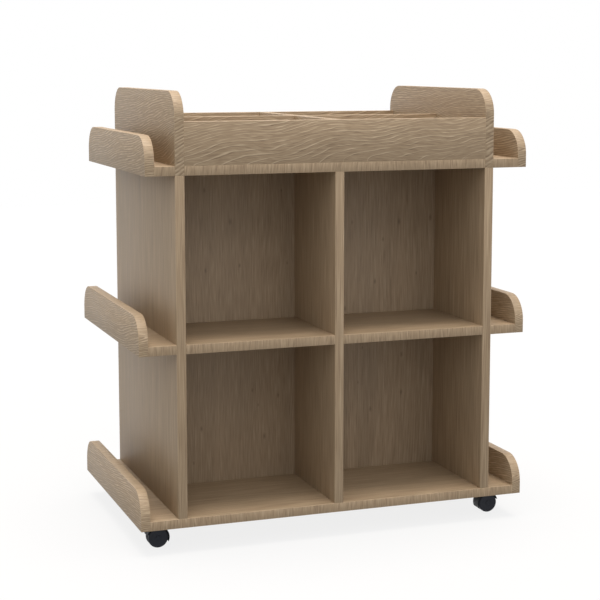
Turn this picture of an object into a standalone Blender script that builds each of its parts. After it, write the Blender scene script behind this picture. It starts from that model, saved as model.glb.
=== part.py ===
"""Mobile double-sided bookcase: laminated boards on four hooded twin-wheel casters.

Metres, +Z up, floor at Z = 0, front towards -Y, origin on the floor under the middle.
"""

import math

import bmesh
import bpy
from mathutils import Matrix, Vector

# Carcass
BOARD = 0.018  # thickness of every structural board
BACK_BOARD = 0.012  # thickness of the panels that part front from rear
BAY_WIDTH = 0.305  # clear width of one compartment
BAY_HEIGHT = 0.323  # clear height of one compartment
BAY_DEPTH = 0.238  # front edge to back panel
JOINT = 0.0003  # glue line between boards that butt
EDGE_ROUND = 0.0008  # softened arris of the edge banding
ARRIS_ANGLE = math.radians(40)  # sharper edges than this are softened
SMOOTH_ANGLE = math.radians(30)  # flatter edges than this read as one curved face
WELD = 0.00001  # points closer than this are one

# End ledges and their lips
LEDGE_REACH = 0.074  # outer face of a side panel to outer face of a lip
TOP_LEFT_SETBACK = 0.016  # the top left ledge is shallower by this much
LIP_HEIGHT = 0.075  # from the underside of its ledge
CORNER_RADIUS = LIP_HEIGHT * 2 / 3  # top corners of lips and gables
CORNER_STEPS = 8

# Book trough on top
TROUGH_DEPTH = 0.083  # trough boards above the top panel
GABLE_RISE = 0.140  # gables above the top panel

# Caster wheels
WHEEL_RADIUS = 0.020  # axle to the flat that rests on the floor
WHEEL_WIDTH = 0.0075
WHEEL_STEPS = 28
WHEEL_RIM = 0.0040  # width of the raised rim round the dished disc
WHEEL_DISH = 0.0004  # disc below the rim
TREAD_ROUND = 0.0016  # outer shoulder of the tread
TREAD_CHAMFER = 0.0008  # inner shoulder of the tread
DISC_WALL = 0.0015  # plastic between the blind bore and the outer face
AXLE_RADIUS = 0.0025
RUNNING_GAP = 0.0003  # round each turning pin
WHEEL_SIDE_GAP = 0.0005  # wheel to web

# Caster hood
WEB = 0.008  # thickness of the web between the wheels
WELL_GAP = 0.0012  # tread to the inside of the hood
HOOD_WALL = 0.0020
HOOD_SETBACK = 0.0005  # hood rim behind the faces of the discs
HOOD_STEPS = 24
TIP_ANGLE = math.radians(14)  # hood ends this far above the axle on the leading side
TAIL_ANGLE = math.radians(25)  # and this far below it on the trailing side
TIP_SLANT = math.radians(5)  # slanted ends of the hood
TIP_LAND = 0.0009  # thickness left at a slanted end
HOOD_ROUND = TIP_LAND / 3  # softened rim
AXLE_BOSS = 0.006
BOSS_STEPS = 4
TRAIL = 0.7 * WHEEL_RADIUS  # swivel axis to axle
NECK_RISE = 0.0037  # neck above the crown of the hood
NECK_TOP_RADIUS = 0.007
NECK_FOOT_RADIUS = WEB / 2
PIN_STEPS = 16

# Caster stem and the insert nut that takes it
STEM_RADIUS = 0.0025  # swivel pin
THREAD_RADIUS = 0.0040
HEX_RADIUS = 0.0075  # across the corners
HEX_HEIGHT = 0.0040
STEM_CHAMFER = 0.0006
INSERT_RADIUS = 0.0055
INSERT_BARB = 0.0005
INSERT_COVER = 0.004  # board left above the insert
BARB_COUNT = 3
BARB_RAMP = 0.8  # share of a barb's length that flares outwards

# Where the swivel axes stand
CASTER_INSET_X = 0.061  # in from the outer face of the lips
CASTER_INSET_Y = 0.065  # in from the front and rear edges

WELL_RADIUS = WHEEL_RADIUS + WELL_GAP
HOOD_RADIUS = WELL_RADIUS + HOOD_WALL
WHEEL_INNER = WEB / 2 + WHEEL_SIDE_GAP
WHEEL_OUTER = WHEEL_INNER + WHEEL_WIDTH
AXLE_REACH = WHEEL_OUTER - DISC_WALL - RUNNING_GAP
NECK_TOP = WHEEL_RADIUS + HOOD_RADIUS + NECK_RISE
NECK_FOOT = WHEEL_RADIUS + HOOD_RADIUS / 2
SOCKET_FLOOR = WHEEL_RADIUS + HOOD_RADIUS / 3
HEX_LOW = NECK_TOP + RUNNING_GAP
HEX_TOP = HEX_LOW + HEX_HEIGHT
CASTER_HEIGHT = HEX_TOP + JOINT

HALF_DEPTH = BAY_DEPTH + BACK_BOARD / 2
SIDE_IN = BOARD / 2 + BAY_WIDTH
SIDE_OUT = SIDE_IN + BOARD
LIP_OUT = SIDE_OUT + LEDGE_REACH
BASE_END = LIP_OUT - BOARD - JOINT
BASE_TOP = CASTER_HEIGHT + BOARD
SHELF_LOW = BASE_TOP + BAY_HEIGHT
SHELF_TOP = SHELF_LOW + BOARD
TOP_LOW = SHELF_TOP + BAY_HEIGHT
TOP_TOP = TOP_LOW + BOARD
TROUGH_TOP = TOP_TOP + TROUGH_DEPTH
GABLE_TOP = TOP_TOP + GABLE_RISE
INSERT_TOP = BASE_TOP - INSERT_COVER

SIDES = (("left", -1), ("right", 1))
FACES = (("front", -1), ("rear", 1))
LEVELS = (("bottom", CASTER_HEIGHT), ("middle", SHELF_LOW), ("top", TOP_LOW))


def empty_scene():
    for obj in list(bpy.data.objects):
        bpy.data.objects.remove(obj)


def new_collection(name):
    group = bpy.data.collections.new(name)
    bpy.context.scene.collection.children.link(group)
    return group


def finish(name, colour, roughness, metallic):
    material = bpy.data.materials.new(name)
    material.use_nodes = True
    shader = material.node_tree.nodes["Principled BSDF"]
    shader.inputs["Base Color"].default_value = (*colour, 1.0)
    shader.inputs["Roughness"].default_value = roughness
    shader.inputs["Metallic"].default_value = metallic
    return material


def mesh_of(name, shape):
    mesh = bpy.data.meshes.new(name)
    shape.to_mesh(mesh)
    shape.free()
    return mesh


def placed(name, mesh, group, material=None):
    obj = bpy.data.objects.new(name, mesh)
    group.objects.link(obj)
    if material and not mesh.materials:
        mesh.materials.append(material)
    return obj


def soften(obj, width):
    bevel = obj.modifiers.new("arris", "BEVEL")
    bevel.width = width
    bevel.segments = 1
    bevel.limit_method = "ANGLE"
    bevel.angle_limit = ARRIS_ANGLE


def combine(obj, other, operation):
    boolean = obj.modifiers.new(other.name, "BOOLEAN")
    boolean.operation = operation
    boolean.solver = "EXACT"
    boolean.object = other


def cutter(name, mesh):
    obj = placed(name, mesh, cutters)
    obj.hide_render = True
    obj.display_type = "WIRE"
    return obj


def applied(obj, *helpers):
    """The mesh that the object's modifiers give. The object and its helpers are then done with."""
    bpy.context.view_layer.update()
    graph = bpy.context.evaluated_depsgraph_get()
    mesh = bpy.data.meshes.new_from_object(obj.evaluated_get(graph))
    for used in (obj, *helpers):
        bpy.data.objects.remove(used)
    return mesh


def smooth(mesh):
    mesh.shade_smooth()
    mesh.set_sharp_from_angle(angle=SMOOTH_ANGLE)
    return mesh


def across(sign, near, far):
    """The range between two distances from the middle, on the side that sign names."""
    return sorted((sign * near, sign * far))


def board(name, x, y, z, rounded=False):
    """A board that fills three ranges. A rounded one has its two top corners cut to an arc."""
    low = Vector((x[0], y[0], z[0]))
    high = Vector((x[1], y[1], z[1]))
    shape = bmesh.new()
    bmesh.ops.create_cube(shape, size=1.0, matrix=Matrix.Diagonal((*(high - low), 1.0)))
    if rounded:
        upper = [vert for vert in shape.verts if vert.co.z > 0]
        corners = [edge for edge in shape.edges if edge.verts[0].co.y * edge.verts[1].co.y > 0]
        corners = [edge for edge in corners if all(vert in upper for vert in edge.verts)]
        bmesh.ops.bevel(
            shape,
            geom=corners,
            offset=CORNER_RADIUS,
            segments=CORNER_STEPS,
            profile=0.5,
            affect="EDGES",
        )
    obj = placed(name, mesh_of(name, shape), bookcase, oak)
    obj.location = (low + high) / 2
    soften(obj, EDGE_ROUND)
    return obj


def add_boards():
    depth = (-HALF_DEPTH, HALF_DEPTH)
    standing = (BASE_TOP + JOINT, TOP_LOW - JOINT)
    trough = (TOP_TOP + JOINT, TROUGH_TOP)
    middle = (-BOARD / 2, BOARD / 2)
    between_gables = (-SIDE_IN + JOINT, SIDE_IN - JOINT)
    base = board("base_panel", (-BASE_END, BASE_END), depth, (CASTER_HEIGHT, BASE_TOP))
    combine(base, cutter("base_panel_bores", insert_bores()), "DIFFERENCE")
    board("centre_divider", middle, depth, standing)
    board("top_panel", between_gables, depth, (TOP_LOW, TOP_TOP))
    board("trough_middle_board", between_gables, middle, trough)
    for face, front in FACES:
        outer = across(front, HALF_DEPTH - BOARD, HALF_DEPTH)
        board(f"trough_{face}_board", between_gables, outer, trough)
        inside = across(front, BOARD / 2 + JOINT, HALF_DEPTH - BOARD - JOINT)
        board(f"trough_{face}_divider", middle, inside, trough)
    for side, sign in SIDES:
        thickness = across(sign, SIDE_IN, SIDE_OUT)
        bay = across(sign, BOARD / 2 + JOINT, SIDE_IN - JOINT)
        board(f"side_panel_{side}", thickness, depth, standing)
        board(f"gable_{side}", thickness, depth, (TOP_LOW, GABLE_TOP), rounded=True)
        board(f"back_panel_{side}", bay, (-BACK_BOARD / 2, BACK_BOARD / 2), standing)
        for face, front in FACES:
            shelf_depth = across(front, BACK_BOARD / 2 + JOINT, HALF_DEPTH)
            board(f"shelf_{face}_{side}", bay, shelf_depth, (SHELF_LOW, SHELF_TOP))
        for level, low in LEVELS:
            setback = TOP_LEFT_SETBACK if (level, side) == ("top", "left") else 0.0
            lip_out = LIP_OUT - setback
            lip_in = lip_out - BOARD
            lip = across(sign, lip_in, lip_out)
            board(f"lip_{level}_{side}", lip, depth, (low, low + LIP_HEIGHT), rounded=True)
            if level != "bottom":
                ledge = across(sign, SIDE_OUT + JOINT, lip_in - JOINT)
                board(f"ledge_{level}_{side}", ledge, depth, (low, low + BOARD))


def swivel_axes():
    """Name, trailing sign along X, and place on the floor of each caster's swivel axis."""
    for face, front in FACES:
        for side, sign in SIDES:
            x = sign * (LIP_OUT - CASTER_INSET_X)
            y = front * (HALF_DEPTH - CASTER_INSET_Y)
            trailing = -front * sign  # outwards at the front, inwards at the rear
            yield f"caster_{face}_{side}", trailing, Vector((x, y, 0.0))


def pin(shape, radius, start, end, steps=PIN_STEPS):
    """A plain round bar between two points."""
    start = Vector(start)
    span = Vector(end) - start
    turn = span.to_track_quat("Z", "Y").to_matrix().to_4x4()
    bmesh.ops.create_cone(
        shape,
        cap_ends=True,
        segments=steps,
        radius1=radius,
        radius2=radius,
        depth=span.length,
        matrix=Matrix.Translation(start + span / 2) @ turn,
    )


def insert_bores():
    radius = INSERT_RADIUS + INSERT_BARB + JOINT
    shape = bmesh.new()
    for name, trailing, foot in swivel_axes():
        low = foot + Vector((0.0, 0.0, CASTER_HEIGHT - INSERT_COVER))
        high = foot + Vector((0.0, 0.0, INSERT_TOP + JOINT))
        pin(shape, radius, low, high)
    return mesh_of("base_panel_bores", shape)


def turned(name, profile, steps, ring=False):
    """A profile of (radius, height) points turned about Z, listed from the top down on the outer side."""
    mesh = bpy.data.meshes.new(name)
    edges = [(i, i + 1) for i in range(len(profile) - 1)]
    if ring:
        edges.append((len(profile) - 1, 0))
    mesh.from_pydata([(radius, 0.0, height) for radius, height in profile], edges, [])
    obj = placed(name, mesh, bookcase)
    screw = obj.modifiers.new("turn", "SCREW")
    screw.axis = "Z"
    screw.steps = steps
    screw.render_steps = steps
    screw.use_merge_vertices = True
    screw.merge_threshold = WELD
    return applied(obj)


def wheel_mesh():
    """Disc with a raised rim and a blind bore; Z runs from the inner to the outer face."""
    tread = WHEEL_RADIUS / math.cos(math.pi / WHEEL_STEPS)
    shoulder = TREAD_ROUND * (1 - math.sqrt(0.5))
    disc = tread - TREAD_ROUND - WHEEL_RIM
    floor = WHEEL_WIDTH - WHEEL_DISH
    bore = AXLE_RADIUS + RUNNING_GAP
    bore_end = WHEEL_WIDTH - DISC_WALL
    profile = (
        (0.0, floor),
        (disc - WHEEL_DISH, floor),
        (disc + WHEEL_DISH, WHEEL_WIDTH),
        (tread - TREAD_ROUND, WHEEL_WIDTH),
        (tread - shoulder, WHEEL_WIDTH - shoulder),
        (tread, WHEEL_WIDTH - TREAD_ROUND),
        (tread, TREAD_CHAMFER),
        (tread - TREAD_CHAMFER, 0.0),
        (bore, 0.0),
        (bore, bore_end),
        (0.0, bore_end),
    )
    mesh = turned("caster_wheel", profile, WHEEL_STEPS)
    mesh.transform(Matrix.Rotation(math.pi / WHEEL_STEPS, 4, "Z"))  # a flat rests on the floor
    return smooth(mesh)


def polar(radius, angle):
    return radius * math.cos(angle), radius * math.sin(angle)


def arc(radius, start, end, steps):
    return [polar(radius, start + (end - start) * i / steps) for i in range(steps + 1)]


def hood_outline():
    """Side view of the hood about the axle, with the trailing side towards +X."""
    tip = math.pi - TIP_ANGLE
    land = WELL_RADIUS + TIP_LAND
    outline = arc(HOOD_RADIUS, tip, -TAIL_ANGLE, HOOD_STEPS)
    outline.append(polar(land, TIP_SLANT - TAIL_ANGLE))
    outline += arc(AXLE_BOSS, -math.pi / 3, -2 * math.pi / 3, BOSS_STEPS)
    outline.append(polar(land, tip - TIP_SLANT))
    return outline


def hood_mesh():
    """Moulded hood: web between the wheels, shell over them, neck for the stem, about the swivel axis."""
    curve = bpy.data.curves.new("hood_outline", "CURVE")
    curve.dimensions = "2D"
    curve.fill_mode = "BOTH"
    curve.extrude = WHEEL_OUTER - HOOD_SETBACK
    outline = hood_outline()
    spline = curve.splines.new("POLY")
    spline.points.add(len(outline) - 1)
    for point, (x, y) in zip(spline.points, outline):
        point.co = (x, y, 0.0, 1.0)
    spline.use_cyclic_u = True
    blank = applied(placed("hood_outline", curve, bookcase))
    shape = bmesh.new()
    shape.from_mesh(blank)
    bmesh.ops.remove_doubles(shape, verts=shape.verts, dist=WELD)
    bmesh.ops.transform(
        shape,
        verts=shape.verts,
        matrix=Matrix.Translation((-TRAIL, 0.0, WHEEL_RADIUS)) @ Matrix.Rotation(math.pi / 2, 4, "X"),
    )
    bmesh.ops.recalc_face_normals(shape, faces=shape.faces)
    hood = placed("hood_blank", mesh_of("hood_blank", shape), bookcase)
    soften(hood, HOOD_ROUND)

    neck_shape = bmesh.new()
    bmesh.ops.create_cone(
        neck_shape,
        cap_ends=True,
        segments=PIN_STEPS,
        radius1=NECK_FOOT_RADIUS,
        radius2=NECK_TOP_RADIUS,
        depth=NECK_TOP - NECK_FOOT,
        matrix=Matrix.Translation((0.0, 0.0, (NECK_TOP + NECK_FOOT) / 2)),
    )
    neck = cutter("hood_neck", mesh_of("hood_neck", neck_shape))
    combine(hood, neck, "UNION")

    well_shape = bmesh.new()
    for sign in (-1, 1):
        near = (-TRAIL, sign * WEB / 2, WHEEL_RADIUS)
        far = (-TRAIL, sign * (WHEEL_OUTER + WHEEL_WIDTH), WHEEL_RADIUS)
        pin(well_shape, WELL_RADIUS, near, far, 2 * HOOD_STEPS)
    wells = cutter("hood_wells", mesh_of("hood_wells", well_shape))
    combine(hood, wells, "DIFFERENCE")

    bore_shape = bmesh.new()
    pin(
        bore_shape,
        AXLE_RADIUS + RUNNING_GAP,
        (-TRAIL, -WHEEL_OUTER, WHEEL_RADIUS),
        (-TRAIL, WHEEL_OUTER, WHEEL_RADIUS),
    )
    pin(bore_shape, STEM_RADIUS + RUNNING_GAP, (0.0, 0.0, SOCKET_FLOOR), (0.0, 0.0, HEX_TOP))
    bores = cutter("hood_bores", mesh_of("hood_bores", bore_shape))
    combine(hood, bores, "DIFFERENCE")
    return smooth(applied(hood, neck, wells, bores))


def stem_mesh():
    """Swivel pin, hexagon and screwed end in one piece, at its height above the floor."""
    top = INSERT_TOP - STEM_CHAMFER
    foot = SOCKET_FLOOR + RUNNING_GAP
    hex_middle = (HEX_LOW + HEX_TOP) / 2
    profile = (
        (0.0, top),
        (THREAD_RADIUS - STEM_CHAMFER, top),
        (THREAD_RADIUS, top - STEM_CHAMFER),
        (THREAD_RADIUS, hex_middle),
        (STEM_RADIUS, hex_middle),
        (STEM_RADIUS, foot + STEM_CHAMFER),
        (STEM_RADIUS - STEM_CHAMFER, foot),
        (0.0, foot),
    )
    stem = placed("stem_blank", turned("stem_blank", profile, PIN_STEPS), bookcase)
    hexagon_shape = bmesh.new()
    pin(hexagon_shape, HEX_RADIUS, (0.0, 0.0, HEX_LOW), (0.0, 0.0, HEX_TOP), 6)
    hexagon = cutter("stem_hexagon", mesh_of("stem_hexagon", hexagon_shape))
    combine(stem, hexagon, "UNION")
    return smooth(applied(stem, hexagon))


def insert_mesh():
    """Knock-in nut: a sleeve with barbs that grip the board, at its height above the floor."""
    bore = THREAD_RADIUS + RUNNING_GAP
    low = CASTER_HEIGHT + JOINT
    pitch = (INSERT_TOP - low) / BARB_COUNT
    profile = [(bore, INSERT_TOP)]
    for barb in range(BARB_COUNT):
        profile.append((INSERT_RADIUS, INSERT_TOP - barb * pitch))
        profile.append((INSERT_RADIUS + INSERT_BARB, INSERT_TOP - (barb + BARB_RAMP) * pitch))
    profile.append((INSERT_RADIUS, low))
    profile.append((bore, low))
    return smooth(turned("caster_insert", profile, PIN_STEPS, ring=True))


def axle_mesh():
    shape = bmesh.new()
    pin(shape, AXLE_RADIUS, (0.0, -AXLE_REACH, 0.0), (0.0, AXLE_REACH, 0.0))
    return smooth(mesh_of("caster_axle", shape))


def add_casters():
    wheel = wheel_mesh()
    hood = hood_mesh()
    stem = stem_mesh()
    insert = insert_mesh()
    axle = axle_mesh()
    for caster, trailing, foot in swivel_axes():
        placed(f"{caster}_insert", insert, bookcase, zinc).location = foot
        placed(f"{caster}_stem", stem, bookcase, zinc).location = foot
        swivel = placed(f"{caster}_hood", hood, bookcase, black_nylon)
        swivel.location = foot
        swivel.rotation_euler.z = 0.0 if trailing < 0 else math.pi
        spindle = placed(f"{caster}_axle", axle, bookcase, zinc)
        spindle.parent = swivel
        spindle.location = (-TRAIL, 0.0, WHEEL_RADIUS)
        for face, front in FACES:
            runner = placed(f"{caster}_wheel_{face}", wheel, bookcase, grey_nylon)
            outward = -trailing * front
            runner.parent = swivel
            runner.location = (-TRAIL, outward * WHEEL_INNER, WHEEL_RADIUS)
            runner.rotation_euler.x = -outward * math.pi / 2


empty_scene()
bookcase = new_collection("mobile_double_sided_bookcase")
cutters = new_collection("cutters")
oak = finish("oak_laminate", (0.34, 0.27, 0.19), 0.5, 0.0)
black_nylon = finish("black_nylon", (0.012, 0.012, 0.014), 0.45, 0.0)
grey_nylon = finish("charcoal_nylon", (0.022, 0.022, 0.025), 0.5, 0.0)
zinc = finish("zinc_plated_steel", (0.55, 0.55, 0.56), 0.35, 1.0)
add_boards()
add_casters()
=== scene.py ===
import math
import random

import bmesh
import bpy
from mathutils import Matrix, Vector


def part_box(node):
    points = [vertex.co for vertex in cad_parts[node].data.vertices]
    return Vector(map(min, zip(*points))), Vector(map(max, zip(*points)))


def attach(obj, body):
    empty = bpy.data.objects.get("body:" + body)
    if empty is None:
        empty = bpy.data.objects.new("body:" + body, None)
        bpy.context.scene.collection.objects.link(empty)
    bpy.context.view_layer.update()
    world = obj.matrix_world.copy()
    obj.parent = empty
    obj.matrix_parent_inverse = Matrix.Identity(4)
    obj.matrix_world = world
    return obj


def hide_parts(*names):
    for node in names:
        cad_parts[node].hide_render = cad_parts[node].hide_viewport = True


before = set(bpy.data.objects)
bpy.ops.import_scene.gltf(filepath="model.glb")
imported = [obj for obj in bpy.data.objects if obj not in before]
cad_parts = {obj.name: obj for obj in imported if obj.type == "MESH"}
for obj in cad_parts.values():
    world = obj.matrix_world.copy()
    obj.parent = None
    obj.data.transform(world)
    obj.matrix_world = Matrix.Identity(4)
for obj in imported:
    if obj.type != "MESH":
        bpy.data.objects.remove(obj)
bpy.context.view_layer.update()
print("frame loaded:", len(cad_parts), "nodes")

axisIndex = {"X": 0, "Y": 1, "Z": 2}
mmPerMetre = 1000.0
mergeDistance = 0.00001  # points closer than this are one
softenAngle = 40.0  # degrees; an edge that turns more is an arris to soften


def linear(hexColour):
    channels = [int(hexColour[start:start + 2], 16) / 255 for start in (1, 3, 5)]
    return [c / 12.92 if c <= 0.04045 else ((c + 0.055) / 1.055) ** 2.4 for c in channels] + [1.0]


def perMetre(millimetres):
    return mmPerMetre / millimetres  # noise cells to a metre


# A colour Mix takes its share at socket 0 and its colours at 6 and 7, and gives the mixed colour at 2
def addNode(tree, kind, settings=None, links=None):
    node = tree.nodes.new(kind)
    for key, value in (settings or {}).items():
        if isinstance(key, str) and hasattr(node, key):
            setattr(node, key, value)
        else:
            node.inputs[key].default_value = value
    for key, socket in (links or {}).items():
        tree.links.new(socket, node.inputs[key])
    return node


def newMaterial(name):
    material = bpy.data.materials.new(name)
    material.use_nodes = True
    tree = material.node_tree
    return material, tree, tree.nodes["Principled BSDF"]


def softenArrises(shape, width, segments):
    sharp = [edge for edge in shape.edges if edge.calc_face_angle() > math.radians(softenAngle)]
    return bmesh.ops.bevel(
        shape,
        geom=sharp,
        offset=width,
        segments=segments,
        profile=0.5,
        affect="EDGES",
        material=-1,
    )["faces"]


def dressed(name, shape, material, body, node, shadeAngle):
    mesh = bpy.data.meshes.new(name)
    shape.to_mesh(mesh)
    shape.free()
    mesh.shade_smooth()
    mesh.set_sharp_from_angle(angle=math.radians(shadeAngle))
    mesh.materials.append(material)
    piece = bpy.data.objects.new(name, mesh)
    bpy.context.scene.collection.objects.link(piece)
    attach(piece, body)
    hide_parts(node)


# Oak-print melamine on chipboard: a satin film printed with limed oak, so a grey-brown ground with broken
# rings, each a dark late-wood line beside a pale limed one, short pores, next to no relief and a pale
# arris, partly wear and partly painted highlight
oakLook = {
    "ground": "#a18b70",
    "late": "#745f49",
    "limed": "#d0bb9e",
    "knot": "#554435",
    # the arris colour: paler partly from wear and partly as a painted highlight along the edges
    "wornAndHighlight": "#c9b191",
    "ring": {0.22: "late", 0.36: "limed", 0.60: "limed", 0.88: "ground"},
    "ringLineMm": 3.7,  # from the edge of a ring's dark line to the end of its pale one
    "pores": {0.32: "late", 0.43: "ground", 0.50: "ground", 0.80: "limed"},
    "fibreMm": (80.0, 1.8),  # length and width; coarser than real fibres, so that they show
    "fibreTone": {"From Min": 0.3, "From Max": 0.7, "To Min": 0.93, "To Max": 1.06},
    "bandMm": (520.0, 26.0),
    "knotMm": (150.0, 70.0),  # one knot to a field of this length and width
    "knotShrink": {"To Min": 0.9, "To Max": 2.6},  # so that knots differ in size
    "knotEdge": {"From Min": 0.01, "From Max": 0.075, "To Max": 0.0},
    # patches of paler arris, partly wear and partly painted highlight
    "wearAndHighlightMm": 30.0,
    "wearAndHighlight": {"From Min": 0.35, "From Max": 0.65, "To Min": 0.1, "To Max": 0.6},
    "ragged": {  # how much finer noise each pattern carries
        "wave": 0.0,
        "uneven": 1.0,
        "dash": 1.0,
        "pore": 1.0,
        "fibre": 3.0,
        "band": 2.0,
        "wearAndHighlight": 3.0,
    },
    "roughness": {"From Min": 0.3, "From Max": 0.7, "To Min": 0.46, "To Max": 0.60},
    "specular": 0.4,
    "relief": {"Strength": 0.25, "Distance": 0.0002},
}

# How a board was cut from the log: how far the log's heart lies from the board's middle and from its face,
# how the log tapers, how its rings are bent and broken into dashes, and what else the print shows
oakCuts = {
    "crown": {
        "heartMm": (-62.0, 40.0),
        "taper": -0.10,
        "ringMm": 3.6,
        "waveMm": (240.0, 100.0, 34.0),  # length, width and reach of what bends the rings
        "unevenMm": (80.0, 13.0, 6.5),  # the same for what spaces them unevenly
        "dashMm": (36.0, 3.6),
        "dashes": {"From Min": 0.34, "From Max": 0.60, "To Max": 0.86},  # up to a ring line's strength
        "poreMm": (20.0, 1.5),  # real pores are 0.3 mm wide; drawn this coarse so that they show
        "poreStrength": 0.32,
        "bandTone": {"From Min": 0.3, "From Max": 0.7, "To Min": 0.95, "To Max": 1.04},
        "saturation": 1.0,
        "knots": 0.0,
    },
    "flat": {
        "heartMm": (-44.0, 30.0),
        "taper": 0.11,
        "ringMm": 5.6,
        "waveMm": (150.0, 80.0, 40.0),
        "unevenMm": (60.0, 18.0, 11.0),
        "dashMm": (42.0, 4.8),
        "dashes": {"From Min": 0.34, "From Max": 0.60, "To Max": 1.0},
        "poreMm": (22.0, 1.4),
        "poreStrength": 0.42,
        "bandTone": {"From Min": 0.3, "From Max": 0.7, "To Min": 0.95, "To Max": 1.04},
        "saturation": 1.0,
        "knots": 0.0,
    },
    "plain": {
        "heartMm": (-600.0, 0.0),
        "taper": 0.01,
        "ringMm": 14.0,
        "waveMm": (900.0, 110.0, 26.0),
        "unevenMm": (400.0, 16.0, 8.0),
        "dashMm": (90.0, 6.0),
        "dashes": {"From Min": 0.34, "From Max": 0.58, "To Max": 0.16},
        "poreMm": (90.0, 1.8),
        "poreStrength": 0.48,
        "bandTone": {"From Min": 0.3, "From Max": 0.7, "To Min": 0.94, "To Max": 1.04},
        "saturation": 1.0,
        "knots": 0.0,
    },
    "knotty": {
        "heartMm": (-600.0, 0.0),
        "taper": 0.01,
        "ringMm": 18.0,
        "waveMm": (420.0, 90.0, 24.0),
        "unevenMm": (260.0, 16.0, 14.0),
        "dashMm": (90.0, 6.0),
        "dashes": {"From Min": 0.34, "From Max": 0.58, "To Max": 0.14},
        "poreMm": (50.0, 2.0),
        "poreStrength": 0.36,
        "bandTone": {"From Min": 0.3, "From Max": 0.7, "To Min": 0.91, "To Max": 1.05},
        "saturation": 0.92,
        "knots": 0.50,
    },
}


# The grain's course once slow waves have bent it, and once more when its rings lie unevenly
def bendGrain(tree, grain, cut):
    courses = [grain]
    for bend in ("wave", "uneven"):
        longMm, wideMm, reachMm = cut[bend + "Mm"]
        cells = (perMetre(longMm), perMetre(wideMm), perMetre(wideMm))
        space = addNode(
            tree,
            "ShaderNodeVectorMath",
            {"operation": "MULTIPLY", 1: cells},
            {0: courses[-1]},
        )
        sway = addNode(
            tree,
            "ShaderNodeTexNoise",
            {"Scale": 1.0, "Detail": oakLook["ragged"][bend]},
            {"Vector": space.outputs[0]},
        )
        centred = addNode(
            tree,
            "ShaderNodeVectorMath",
            {"operation": "SUBTRACT", 1: (0.5, 0.5, 0.5)},  # noise lies about a half
            {0: sway.outputs["Color"]},
        )
        course = addNode(
            tree,
            "ShaderNodeVectorMath",
            {"operation": "MULTIPLY_ADD", 1: (0.0, reachMm / mmPerMetre, 0.0)},
            {0: centred.outputs[0], 2: courses[-1]},
        )
        courses.append(course.outputs[0])
    return courses[1:]


# How far a point lies from the log's heart, and its growth, which is that less the taper
def growLog(tree, course, cut):
    aside, depth = (distance / mmPerMetre for distance in cut["heartMm"])
    fromHeart = addNode(
        tree,
        "ShaderNodeVectorMath",
        {"operation": "MULTIPLY_ADD", 1: (0.0, 1.0, 0.0), 2: (0.0, -aside, depth)},
        {0: course},
    )
    radius = addNode(
        tree,
        "ShaderNodeVectorMath",
        {"operation": "LENGTH"},
        {0: fromHeart.outputs[0]},
    ).outputs["Value"]
    taper = addNode(
        tree,
        "ShaderNodeVectorMath",
        {"operation": "DOT_PRODUCT", 1: (cut["taper"], 0.0, 0.0)},
        {0: course},
    )
    growth = addNode(
        tree,
        "ShaderNodeMath",
        {"operation": "SUBTRACT"},
        {0: radius, 1: taper.outputs["Value"]},
    )
    return radius, growth.outputs[0]


# How far a point lies past the last ring, counted in widths of a ring's line
def pastRing(tree, radius, growth, cut):
    years = addNode(
        tree,
        "ShaderNodeMath",
        {"operation": "MULTIPLY", 1: perMetre(cut["ringMm"])},
        {0: growth},
    )
    season = addNode(tree, "ShaderNodeMath", {"operation": "FRACT"}, {0: years.outputs[0]})
    slant = addNode(
        tree,
        "ShaderNodeMath",
        {"operation": "DIVIDE", 0: cut["heartMm"][1] / mmPerMetre},
        {1: radius},
    )
    square = addNode(
        tree,
        "ShaderNodeMath",
        {"operation": "MULTIPLY"},
        {0: slant.outputs[0], 1: slant.outputs[0]},
    )
    rest = addNode(
        tree,
        "ShaderNodeMath",
        {"operation": "SUBTRACT", 0: 1 + cut["taper"] ** 2},
        {1: square.outputs[0]},
    )
    steepness = addNode(tree, "ShaderNodeMath", {"operation": "SQRT"}, {0: rest.outputs[0]})
    across = addNode(
        tree,
        "ShaderNodeMath",
        {"operation": "DIVIDE"},  # a ring cut at a slant keeps the width of its line
        {0: season.outputs[0], 1: steepness.outputs[0]},
    )
    return addNode(
        tree,
        "ShaderNodeMath",
        {"operation": "MULTIPLY", 1: cut["ringMm"] / oakLook["ringLineMm"]},
        {0: across.outputs[0]},
    ).outputs[0]


def drawKnots(tree, grain, printed, look):
    fields = (*(perMetre(field) for field in look["knotMm"]), 1.0)
    spread = addNode(tree, "ShaderNodeVectorMath", {"operation": "MULTIPLY", 1: fields}, {0: grain})
    knot = addNode(
        tree,
        "ShaderNodeTexVoronoi",
        {"voronoi_dimensions": "2D", "Scale": 1.0},
        {"Vector": spread.outputs[0]},
    )
    shrink = addNode(tree, "ShaderNodeMapRange", look["knotShrink"], {"Value": knot.outputs["Color"]})
    outward = addNode(
        tree,
        "ShaderNodeMath",
        {"operation": "MULTIPLY"},
        {0: knot.outputs["Distance"], 1: shrink.outputs[0]},
    )
    edge = addNode(
        tree,
        "ShaderNodeMapRange",
        {**look["knotEdge"], "To Min": look["knots"]},
        {"Value": outward.outputs[0]},
    )
    return addNode(
        tree,
        "ShaderNodeMix",
        {"data_type": "RGBA", 7: linear(look["knot"])},
        {0: edge.outputs[0], 6: printed},
    ).outputs[2]


# Pales the arris faces in patches: partly wear, partly a painted highlight along the edges
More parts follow.
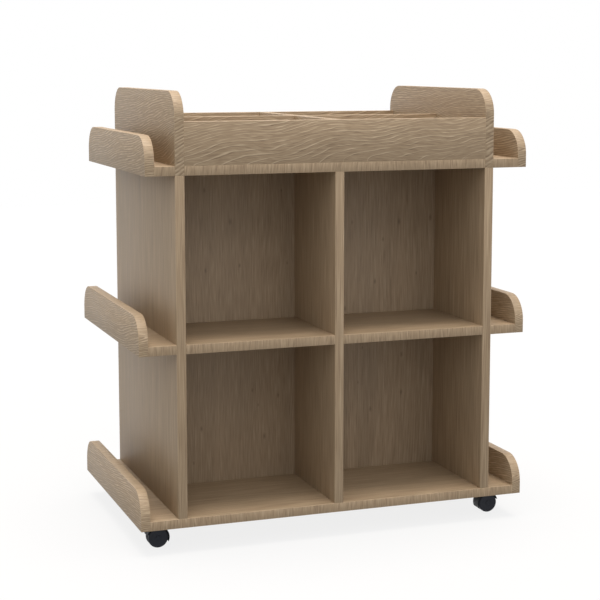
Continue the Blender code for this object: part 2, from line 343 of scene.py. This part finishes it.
def paleArrisesWornAndLit(tree, grain, toned, look):
    patches = addNode(
        tree,
        "ShaderNodeTexNoise",
        {"Scale": perMetre(look["wearAndHighlightMm"]), "Detail": look["ragged"]["wearAndHighlight"]},
        {"Vector": grain},
    )
    wearAndHighlightShare = addNode(tree, "ShaderNodeMapRange", look["wearAndHighlight"], {"Value": patches.outputs["Fac"]})
    arris = addNode(tree, "ShaderNodeAttribute", {"attribute_name": "wearAndHighlight"})
    wornAndHighlight = addNode(
        tree,
        "ShaderNodeMath",
        {"operation": "MULTIPLY"},
        {0: arris.outputs["Fac"], 1: wearAndHighlightShare.outputs[0]},
    )
    return addNode(
        tree,
        "ShaderNodeMix",
        {"data_type": "RGBA", 7: linear(look["wornAndHighlight"])},
        {0: wornAndHighlight.outputs[0], 6: toned},
    ).outputs[2]


def oakLaminate(name, cut):
    material, tree, shader = newMaterial(name)
    grain = addNode(tree, "ShaderNodeAttribute", {"attribute_name": "grain"}).outputs["Vector"]
    bent, spaced = bendGrain(tree, grain, cut)
    radius, growth = growLog(tree, spaced, cut)
    along = addNode(tree, "ShaderNodeSeparateXYZ", None, {0: grain}).outputs
    flow = addNode(tree, "ShaderNodeCombineXYZ", None, {0: along[0], 1: growth, 2: along[2]}).outputs[0]

    look = {**oakLook, **cut}
    streaks = {}
    for streak, course in {"dash": flow, "pore": bent, "fibre": grain, "band": flow}.items():
        longMm, wideMm = look[streak + "Mm"]
        cells = (perMetre(longMm), perMetre(wideMm), perMetre(wideMm))
        space = addNode(tree, "ShaderNodeVectorMath", {"operation": "MULTIPLY", 1: cells}, {0: course})
        streaks[streak] = addNode(
            tree,
            "ShaderNodeTexNoise",
            {"Scale": 1.0, "Detail": look["ragged"][streak]},
            {"Vector": space.outputs[0]},
        ).outputs["Fac"]

    stains = {}
    for stain, place in {"ring": pastRing(tree, radius, growth, cut), "pores": streaks["pore"]}.items():
        ramp = addNode(tree, "ShaderNodeValToRGB", None, {"Fac": place})
        stops = ramp.color_ramp.elements
        stops.remove(stops[1])
        stops[0].color = linear(look["late"])
        for stop, colour in look[stain].items():
            stops.new(stop).color = linear(look[colour])
        stains[stain] = ramp.outputs["Color"]

    dashes = addNode(tree, "ShaderNodeMapRange", look["dashes"], {"Value": streaks["dash"]})
    ringed = addNode(
        tree,
        "ShaderNodeMix",
        {"data_type": "RGBA", 6: linear(look["ground"])},
        {0: dashes.outputs[0], 7: stains["ring"]},
    )
    printed = addNode(
        tree,
        "ShaderNodeMix",
        {"data_type": "RGBA", 0: look["poreStrength"]},
        {6: ringed.outputs[2], 7: stains["pores"]},
    ).outputs[2]

    if look["knots"]:
        printed = drawKnots(tree, grain, printed, look)

    fibreTone = addNode(tree, "ShaderNodeMapRange", look["fibreTone"], {"Value": streaks["fibre"]})
    bandTone = addNode(tree, "ShaderNodeMapRange", look["bandTone"], {"Value": streaks["band"]})
    tone = addNode(
        tree,
        "ShaderNodeMath",
        {"operation": "MULTIPLY"},
        {0: fibreTone.outputs[0], 1: bandTone.outputs[0]},
    )
    toned = addNode(
        tree,
        "ShaderNodeHueSaturation",
        {"Saturation": look["saturation"]},
        {"Color": printed, "Value": tone.outputs[0]},
    ).outputs[0]
    roughness = addNode(tree, "ShaderNodeMapRange", look["roughness"], {"Value": streaks["pore"]})
    relief = addNode(tree, "ShaderNodeBump", look["relief"], {"Height": streaks["pore"]})
    tree.links.new(paleArrisesWornAndLit(tree, grain, toned, look), shader.inputs["Base Color"])
    tree.links.new(roughness.outputs[0], shader.inputs["Roughness"])
    tree.links.new(relief.outputs["Normal"], shader.inputs["Normal"])
    shader.inputs["Specular IOR Level"].default_value = look["specular"]
    return material


# Boards: which way the print runs on the faces and on the banded edges, and which cut it shows
boardLook = {
    "glueLine": 0.0003,
    "cornerRadius": 0.050,
    "cornerSegments": 24,
    "arris": 0.0005,
    "arrisSegments": 2,
    "shadeAngle": 50.0,
    "edgeShortening": 3.0,  # the figure is this much shorter on the edges of lying boards
    "edgeSpread": 0.6,  # and spread to this share of its fineness along them
    "rimShortening": 1.6,  # the figure is this much shorter on the rims of lips and gables
    "start": ((0.0, 5.0), (-0.01, 0.01), (0.0, 5.0)),  # where on the printed roll a board may begin
    "print": {
        "base_panel": ("X", "Z", "plain"),
        "side_panel": ("Z", "Z", "plain"),
        "centre_divider": ("Z", "Z", "plain"),
        "back_panel": ("Z", "Z", "knotty"),
        "shelf": ("X", "Z", "plain"),
        "top_panel": ("X", "Z", "plain"),
        "ledge": ("X", "Z", "plain"),
        "lip": ("Y", "X", "crown"),
        "gable": ("Y", "X", "crown"),
        "trough": ("X", "X", "flat"),
        "trough_front_divider": ("Y", "Y", "flat"),
        "trough_rear_divider": ("Y", "Y", "flat"),
    },
}


def roundTopCorners(board):
    upper = [edge for edge in board.edges if all(vert.co.z > 0 for vert in edge.verts)]
    corners = [edge for edge in upper if edge.verts[0].co.y * edge.verts[1].co.y > 0]
    bmesh.ops.bevel(
        board,
        geom=corners,
        offset=boardLook["cornerRadius"],
        segments=boardLook["cornerSegments"],
        profile=0.5,
        affect="EDGES",
        material=-1,
    )


def layGrain(board, name, size, faceGrain, edgeGrain, arrises):
    draw = random.Random(name)
    start = Vector([draw.uniform(*span) for span in boardLook["start"]])
    grain = board.loops.layers.float_vector.new("grain")
    wearAndHighlight = board.loops.layers.float.new("wearAndHighlight")
    thin = min(range(3), key=lambda axis: size[axis])
    for face in board.faces:
        facing = max(range(3), key=lambda axis: abs(face.normal[axis]))
        along = axisIndex[faceGrain if facing == thin else edgeGrain]
        across = next((axis for axis in range(3) if axis not in (along, facing)))
        for loop in face.loops:
            place = loop.vert.co
            spot = Vector((place[along], place[across], place[facing]))
            if along == thin == axisIndex["Z"]:
                spot.x *= boardLook["edgeShortening"]
                spot.y *= boardLook["edgeSpread"]
            elif along == thin:  # round the rim of a lip or gable, from end to end
                outline = size.y + place.y + math.copysign(place.z, -place.y)
                spot = Vector((place.x * boardLook["rimShortening"], outline, 0.0))
            loop[grain] = start + spot
            # the arris faces get the pale colour, partly wear and partly painted highlight
            loop[wearAndHighlight] = 1.0 if face in arrises else 0.0


def makeBoard(name, faceGrain, edgeGrain, material):
    low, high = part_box(name)
    grow = Vector([boardLook["glueLine"]] * 3)  # boards meet, as glued ones do
    size = high - low + grow
    board = bmesh.new()
    bmesh.ops.create_cube(board, size=1.0, matrix=Matrix.Diagonal((*size, 1.0)))
    if name.startswith(("lip", "gable")):
        roundTopCorners(board)
    arrises = set(softenArrises(board, boardLook["arris"], boardLook["arrisSegments"]))
    board.normal_update()
    layGrain(board, name, size, faceGrain, edgeGrain, arrises)
    bmesh.ops.translate(board, verts=board.verts, vec=(low + high) / 2)
    dressed(name + "_laminated", board, material, "carcass", name, boardLook["shadeAngle"])


def layBoards():
    oaks = {}
    boards = sorted(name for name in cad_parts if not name.startswith("caster"))
    for name in boards:
        key = max((key for key in boardLook["print"] if name.startswith(key)), key=len)
        faceGrain, edgeGrain, cut = boardLook["print"][key]
        if cut not in oaks:
            oaks[cut] = oakLaminate("oakLaminate", oakCuts[cut])
        makeBoard(name, faceGrain, edgeGrain, oaks[cut])
    print("boards laid:", len(boards))


layBoards()

# Moulded nylon: satin black with a fine sparked grain, a cloudy bloom, and grey scuffs where it rolls
nylonLook = {
    "hood": "#0f1116",
    "hoodBloom": "#1a1d26",
    "wheel": "#1f222a",
    "wheelBloom": "#292c35",
    "scuff": "#3b3a38",
    "cloudMm": 14.0,
    "cloudDetail": 3.0,
    "sparkMm": 0.9,  # the mould's grain is nearer 0.1 mm; drawn coarser so that it shows
    "sparkDetail": 2.0,
    "bloom": {"From Min": 0.35, "From Max": 0.65, "To Max": 0.8},
    "scuffs": {"From Min": 0.4, "From Max": 0.7, "To Min": 0.05, "To Max": 0.7},
    "roughness": {"From Min": 0.3, "From Max": 0.7, "To Min": 0.40, "To Max": 0.56},
    "specular": 0.25,
    "relief": {"Strength": 0.2, "Distance": 0.00005},
}


def mouldedNylon(name, dark, pale, rolls):
    material, tree, shader = newMaterial(name)
    place = addNode(tree, "ShaderNodeTexCoord").outputs["Object"]
    cloud = addNode(
        tree,
        "ShaderNodeTexNoise",
        {"Scale": perMetre(nylonLook["cloudMm"]), "Detail": nylonLook["cloudDetail"]},
        {"Vector": place},
    ).outputs["Fac"]
    spark = addNode(
        tree,
        "ShaderNodeTexNoise",
        {"Scale": perMetre(nylonLook["sparkMm"]), "Detail": nylonLook["sparkDetail"]},
        {"Vector": place},
    ).outputs["Fac"]
    bloom = addNode(tree, "ShaderNodeMapRange", nylonLook["bloom"], {"Value": cloud})
    colour = addNode(
        tree,
        "ShaderNodeMix",
        {"data_type": "RGBA", 6: linear(dark), 7: linear(pale)},
        {0: bloom.outputs[0]},
    ).outputs[2]
    if rolls:
        tread = addNode(tree, "ShaderNodeAttribute", {"attribute_name": "tread"})
        scuffs = addNode(tree, "ShaderNodeMapRange", nylonLook["scuffs"], {"Value": cloud})
        scuffed = addNode(
            tree,
            "ShaderNodeMath",
            {"operation": "MULTIPLY"},
            {0: tread.outputs["Fac"], 1: scuffs.outputs[0]},
        )
        colour = addNode(
            tree,
            "ShaderNodeMix",
            {"data_type": "RGBA", 7: linear(nylonLook["scuff"])},
            {0: scuffed.outputs[0], 6: colour},
        ).outputs[2]
    roughness = addNode(tree, "ShaderNodeMapRange", nylonLook["roughness"], {"Value": cloud})
    relief = addNode(tree, "ShaderNodeBump", nylonLook["relief"], {"Height": spark})
    tree.links.new(colour, shader.inputs["Base Color"])
    tree.links.new(roughness.outputs[0], shader.inputs["Roughness"])
    tree.links.new(relief.outputs["Normal"], shader.inputs["Normal"])
    shader.inputs["Specular IOR Level"].default_value = nylonLook["specular"]
    return material


# Zinc-plated steel: bright blue-grey plating with soft spangles, the bright ones glossier
zincLook = {
    "bright": "#d3d6d9",
    "dull": "#a7abaf",
    "spangleMm": 3.0,
    "spangleDetail": 3.0,
    "tint": {"From Min": 0.35, "From Max": 0.65},
    "roughness": {"From Min": 0.3, "From Max": 0.7, "To Min": 0.42, "To Max": 0.26},
}


def zincPlate(name):
    material, tree, shader = newMaterial(name)
    place = addNode(tree, "ShaderNodeTexCoord").outputs["Object"]
    spangle = addNode(
        tree,
        "ShaderNodeTexNoise",
        {"Scale": perMetre(zincLook["spangleMm"]), "Detail": zincLook["spangleDetail"]},
        {"Vector": place},
    ).outputs["Fac"]
    tint = addNode(tree, "ShaderNodeMapRange", zincLook["tint"], {"Value": spangle})
    colour = addNode(
        tree,
        "ShaderNodeMix",
        {"data_type": "RGBA", 6: linear(zincLook["dull"]), 7: linear(zincLook["bright"])},
        {0: tint.outputs[0]},
    )
    roughness = addNode(tree, "ShaderNodeMapRange", zincLook["roughness"], {"Value": spangle})
    tree.links.new(colour.outputs[2], shader.inputs["Base Color"])
    tree.links.new(roughness.outputs[0], shader.inputs["Roughness"])
    shader.inputs["Metallic"].default_value = 1.0
    return material


# Caster wheel: a dished disc with a raised rim, a hub cap and a rounded tread
wheelLook = {
    "segments": 96,
    "rim": 0.0036,
    "dish": 0.0005,
    "shoulder": 0.0014,
    "hubRadius": 0.0046,
    "hubGroove": 0.0008,
    "bore": 0.0028,
    "wall": 0.0015,
    "recess": 0.0012,
    "soft": 0.0003,
    "softSegments": 2,
    "shadeAngle": 35.0,
}


def wheelProfile(radius, width):
    disc = radius - wheelLook["shoulder"] - wheelLook["rim"]
    floor = width - wheelLook["dish"]
    hub, groove = wheelLook["hubRadius"], wheelLook["hubGroove"]
    return (
        (0.0, width - wheelLook["dish"] / 2),
        (hub, width - wheelLook["dish"] / 2),
        (hub, floor - groove / 2),
        (hub + groove, floor - groove / 2),
        (hub + groove, floor),
        (disc, floor),
        (disc + wheelLook["dish"], width),
        (radius - wheelLook["shoulder"], width),
        (radius, width - wheelLook["shoulder"]),
        (radius, wheelLook["shoulder"] / 2),
        (radius - wheelLook["shoulder"] / 2, 0.0),
        (disc, 0.0),
        (disc, wheelLook["recess"]),
        (hub + groove, wheelLook["recess"]),
        (hub + groove, 0.0),
        (wheelLook["bore"], 0.0),
        (wheelLook["bore"], width - wheelLook["wall"]),
        (0.0, width - wheelLook["wall"]),
    )


def makeWheel(node, body, material):
    low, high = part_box(node)
    middle = (low + high) / 2
    outward = -1 if node.endswith("front") else 1
    inner = low.y if outward > 0 else high.y
    radius = middle.z - low.z
    wheel = bmesh.new()
    rim = [
        wheel.verts.new((middle.x + reach, inner + outward * depth, middle.z))
        for reach, depth in wheelProfile(radius, high.y - low.y)
    ]
    profile = [wheel.edges.new(pair) for pair in zip(rim, rim[1:])]
    bmesh.ops.spin(
        wheel,
        geom=rim + profile,
        cent=middle,
        axis=(0.0, 1.0, 0.0),
        angle=2 * math.pi,
        steps=wheelLook["segments"],
        use_merge=True,
    )
    bmesh.ops.remove_doubles(wheel, verts=wheel.verts, dist=mergeDistance)
    bmesh.ops.recalc_face_normals(wheel, faces=wheel.faces)
    softenArrises(wheel, wheelLook["soft"], wheelLook["softSegments"])
    wheel.normal_update()
    tread = wheel.loops.layers.float.new("tread")
    for face in wheel.faces:
        for loop in face.loops:
            reach = math.hypot(loop.vert.co.x - middle.x, loop.vert.co.z - middle.z)
            loop[tread] = 1.0 if reach > radius - wheelLook["shoulder"] / 2 else 0.0
    dressed(node + "_moulded", wheel, material, body, node, wheelLook["shadeAngle"])


# Caster hood: the CAD shape, with triangles that lie within flatAngle joined, and shaded smooth
hoodLook = {"flatAngle": 1.0, "shadeAngle": 30.0}


def makeHood(node, body, material):
    hood = bmesh.new()
    hood.from_mesh(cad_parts[node].data)
    bmesh.ops.remove_doubles(hood, verts=hood.verts, dist=mergeDistance)
    bmesh.ops.dissolve_limit(
        hood,
        angle_limit=math.radians(hoodLook["flatAngle"]),
        verts=hood.verts,
        edges=hood.edges,
    )
    dressed(node + "_moulded", hood, material, body, node, hoodLook["shadeAngle"])


def makeCasters():
    hoodNylon = mouldedNylon("blackNylonMoulded", nylonLook["hood"], nylonLook["hoodBloom"], False)
    wheelNylon = mouldedNylon("charcoalNylonMoulded", nylonLook["wheel"], nylonLook["wheelBloom"], True)
    zinc = zincPlate("zincPlatedSteel")
    casters = [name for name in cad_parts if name.startswith("caster")]
    for name in sorted(casters):
        if name.endswith("hood"):
            makeHood(name, name.replace("hood", "swivel"), hoodNylon)
        elif "wheel" in name:
            makeWheel(name, name + "_body", wheelNylon)
        else:
            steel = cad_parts[name].data
            steel.materials.clear()
            steel.materials.append(zinc)
    print("casters made:", len(casters), "pieces")


makeCasters()

# Studio: pale soft light all round, more of it from overhead, over white paper that shows the shadow
studioLook = {
    "white": "#ffffff",
    "floorSize": 14.0,
    "floorColour": "#5a5a5a",
    "floorRoughness": 1.0,
    "floorSpecular": 0.0,
    "floorGlow": 0.83,  # what the lens sees beside the light that the paper sends back
    "floorFill": 0.18,  # light from below, as from a bright room's floor
    "sky": "#e0e0e0",
    "lightAngle": 38.0,  # degrees across, so that the shadows stay soft
    "lights": {
        "overhead": {"strength": 3.2, "colour": "#fff6ed", "from": (0.0, 0.0, 1.0)},
        "front": {"strength": 0.41, "colour": "#fffdfa", "from": (0.0, -0.7, 0.7)},
    },
}


def seenDirectly(tree):
    path = addNode(tree, "ShaderNodeLightPath").outputs
    mirrored = addNode(
        tree,
        "ShaderNodeMath",
        {"operation": "MAXIMUM"},
        {0: path["Is Glossy Ray"], 1: path["Is Transmission Ray"]},
    )
    return addNode(
        tree,
        "ShaderNodeMath",
        {"operation": "MAXIMUM"},
        {0: path["Is Camera Ray"], 1: mirrored.outputs[0]},
    ).outputs[0]


def layFloor():
    floor = bmesh.new()
    bmesh.ops.create_grid(floor, x_segments=1, y_segments=1, size=studioLook["floorSize"] / 2)
    mesh = bpy.data.meshes.new("studioFloor")
    floor.to_mesh(mesh)
    floor.free()
    piece = bpy.data.objects.new("studioFloor", mesh)
    bpy.context.scene.collection.objects.link(piece)
    material, tree, shader = newMaterial("whitePaper")
    shader.inputs["Base Color"].default_value = linear(studioLook["floorColour"])
    shader.inputs["Roughness"].default_value = studioLook["floorRoughness"]
    shader.inputs["Specular IOR Level"].default_value = studioLook["floorSpecular"]
    shader.inputs["Emission Color"].default_value = linear(studioLook["white"])
    glow = addNode(
        tree,
        "ShaderNodeMapRange",
        {"To Min": studioLook["floorFill"], "To Max": studioLook["floorGlow"]},
        {"Value": seenDirectly(tree)},
    )
    tree.links.new(glow.outputs[0], shader.inputs["Emission Strength"])
    mesh.materials.append(material)


def hangSky():
    world = bpy.data.worlds.new("studioSky")
    world.use_nodes = True
    tree = world.node_tree
    backdrop = addNode(
        tree,
        "ShaderNodeMix",
        {"data_type": "RGBA", 6: linear(studioLook["sky"]), 7: linear(studioLook["white"])},
        {0: seenDirectly(tree)},
    )
    tree.links.new(backdrop.outputs[2], tree.nodes["Background"].inputs["Color"])
    bpy.context.scene.world = world


def hangLights():
    for name, look in studioLook["lights"].items():
        light = bpy.data.lights.new(name, "SUN")
        light.energy = look["strength"]
        light.color = linear(look["colour"])[:3]
        light.angle = math.radians(studioLook["lightAngle"])
        lamp = bpy.data.objects.new(name, light)
        lamp.rotation_euler = (-Vector(look["from"])).to_track_quat("-Z", "Y").to_euler()
        bpy.context.scene.collection.objects.link(lamp)


layFloor()
hangSky()
hangLights()

# Camera: front left and a little above
cameraLook = {
    "place": (-1.0997, -3.0558, 0.9480),
    "yaw": 0.3470,  # radians, as the pitch is
    "pitch": 0.1304,
    "lens": 93.07,
    "shiftY": -0.06,  # keeps the uprights nearly parallel, as the photo has them
}


def placeCamera():
    data = bpy.data.cameras.new("photoCamera")
    data.lens = cameraLook["lens"]
    data.shift_y = cameraLook["shiftY"]
    camera = bpy.data.objects.new("photoCamera", data)
    camera.location = cameraLook["place"]
    camera.rotation_euler = (math.pi / 2 - cameraLook["pitch"], 0.0, -cameraLook["yaw"])
    bpy.context.scene.collection.objects.link(camera)
    bpy.context.scene.camera = camera


placeCamera()
bpy.context.scene.view_settings.view_transform = "Standard"
print("studio and camera set")
